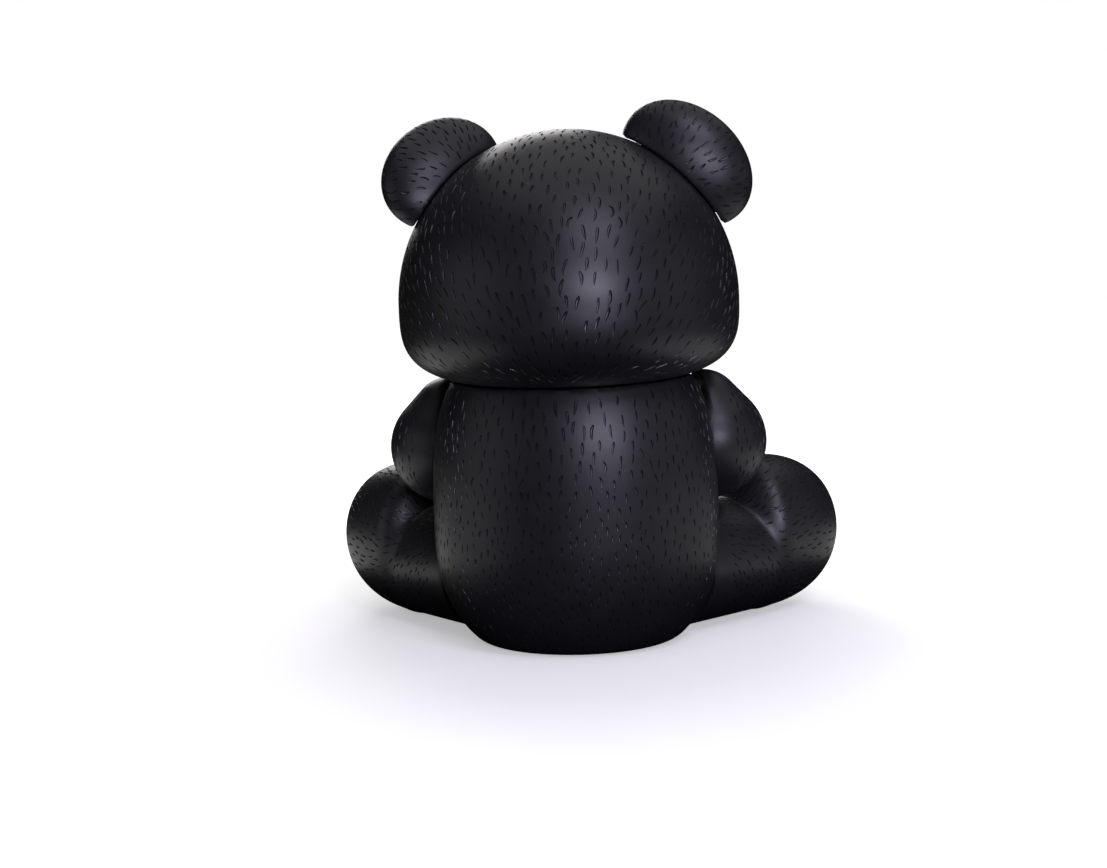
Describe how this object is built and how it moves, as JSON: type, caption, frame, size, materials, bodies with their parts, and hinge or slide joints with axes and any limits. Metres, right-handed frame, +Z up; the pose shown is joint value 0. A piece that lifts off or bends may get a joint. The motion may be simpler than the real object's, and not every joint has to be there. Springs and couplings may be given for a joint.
{
  "type": "vinyl art toy",
  "caption": "Sitting toy bear in matte black soft vinyl with incised fur strokes; its head, ears, arms and legs turn on snap-in flanges.",
  "frame": {"origin": "centre of the flat underside of the torso, on the surface the bear sits on", "axes": "+Z up, -Y out of the bear's face, +X towards the bear's own left"},
  "size_m": [0.213, 0.1469, 0.2082],
  "materials": {
    "vinyl": "satin black soft vinyl, fine moulded grain",
    "eye_gloss": "polished black",
    "nose_gloss": "polished black"
  },
  "bodies": {
    "torso": {"torso_shell": "vinyl"},
    "head": {"head_shell": "vinyl", "nose": "nose_gloss", "eye_left": "eye_gloss", "eye_right": "eye_gloss"},
    "ear_left": {"ear_left": "vinyl"},
    "ear_right": {"ear_right": "vinyl"},
    "arm_left": {"arm_left": "vinyl"},
    "arm_right": {"arm_right": "vinyl"},
    "leg_left": {"leg_left": "vinyl"},
    "leg_right": {"leg_right": "vinyl"}
  },
  "joints": [
    {"name": "head_turn", "type": "hinge", "parent": "torso", "child": "head", "pos_m": [0, 0, 0.1006], "axis": [0, 0, 1], "continuous": true},
    {"name": "ear_left_turn", "type": "hinge", "parent": "head", "child": "ear_left", "pos_m": [0.04471, 0.00345, 0.18139], "axis": [0.6785, 0.0523, 0.7327], "range_deg": [-20, 20]},
    {"name": "arm_left_raise", "type": "hinge", "parent": "torso", "child": "arm_left", "pos_m": [0.05317, -0.01626, 0.0755], "axis": [-0.9563, 0.2924, 0], "range_deg": [-8, 50]},
    {"name": "leg_left_turn", "type": "hinge", "parent": "torso", "child": "leg_left", "pos_m": [0.03657, -0.0141, 0.026], "axis": [0.7314, -0.682, 0], "range_deg": [-30, 30]},
    {"name": "ear_right_turn", "type": "hinge", "parent": "head", "child": "ear_right", "pos_m": [-0.04471, 0.00345, 0.18139], "axis": [-0.6785, 0.0523, 0.7327], "range_deg": [-20, 20]},
    {"name": "arm_right_raise", "type": "hinge", "parent": "torso", "child": "arm_right", "pos_m": [-0.05317, -0.01626, 0.0755], "axis": [-0.9563, -0.2924, 0], "range_deg": [-8, 50]},
    {"name": "leg_right_turn", "type": "hinge", "parent": "torso", "child": "leg_right", "pos_m": [-0.03657, -0.0141, 0.026], "axis": [-0.7314, -0.682, 0], "range_deg": [-30, 30]}
  ]
}
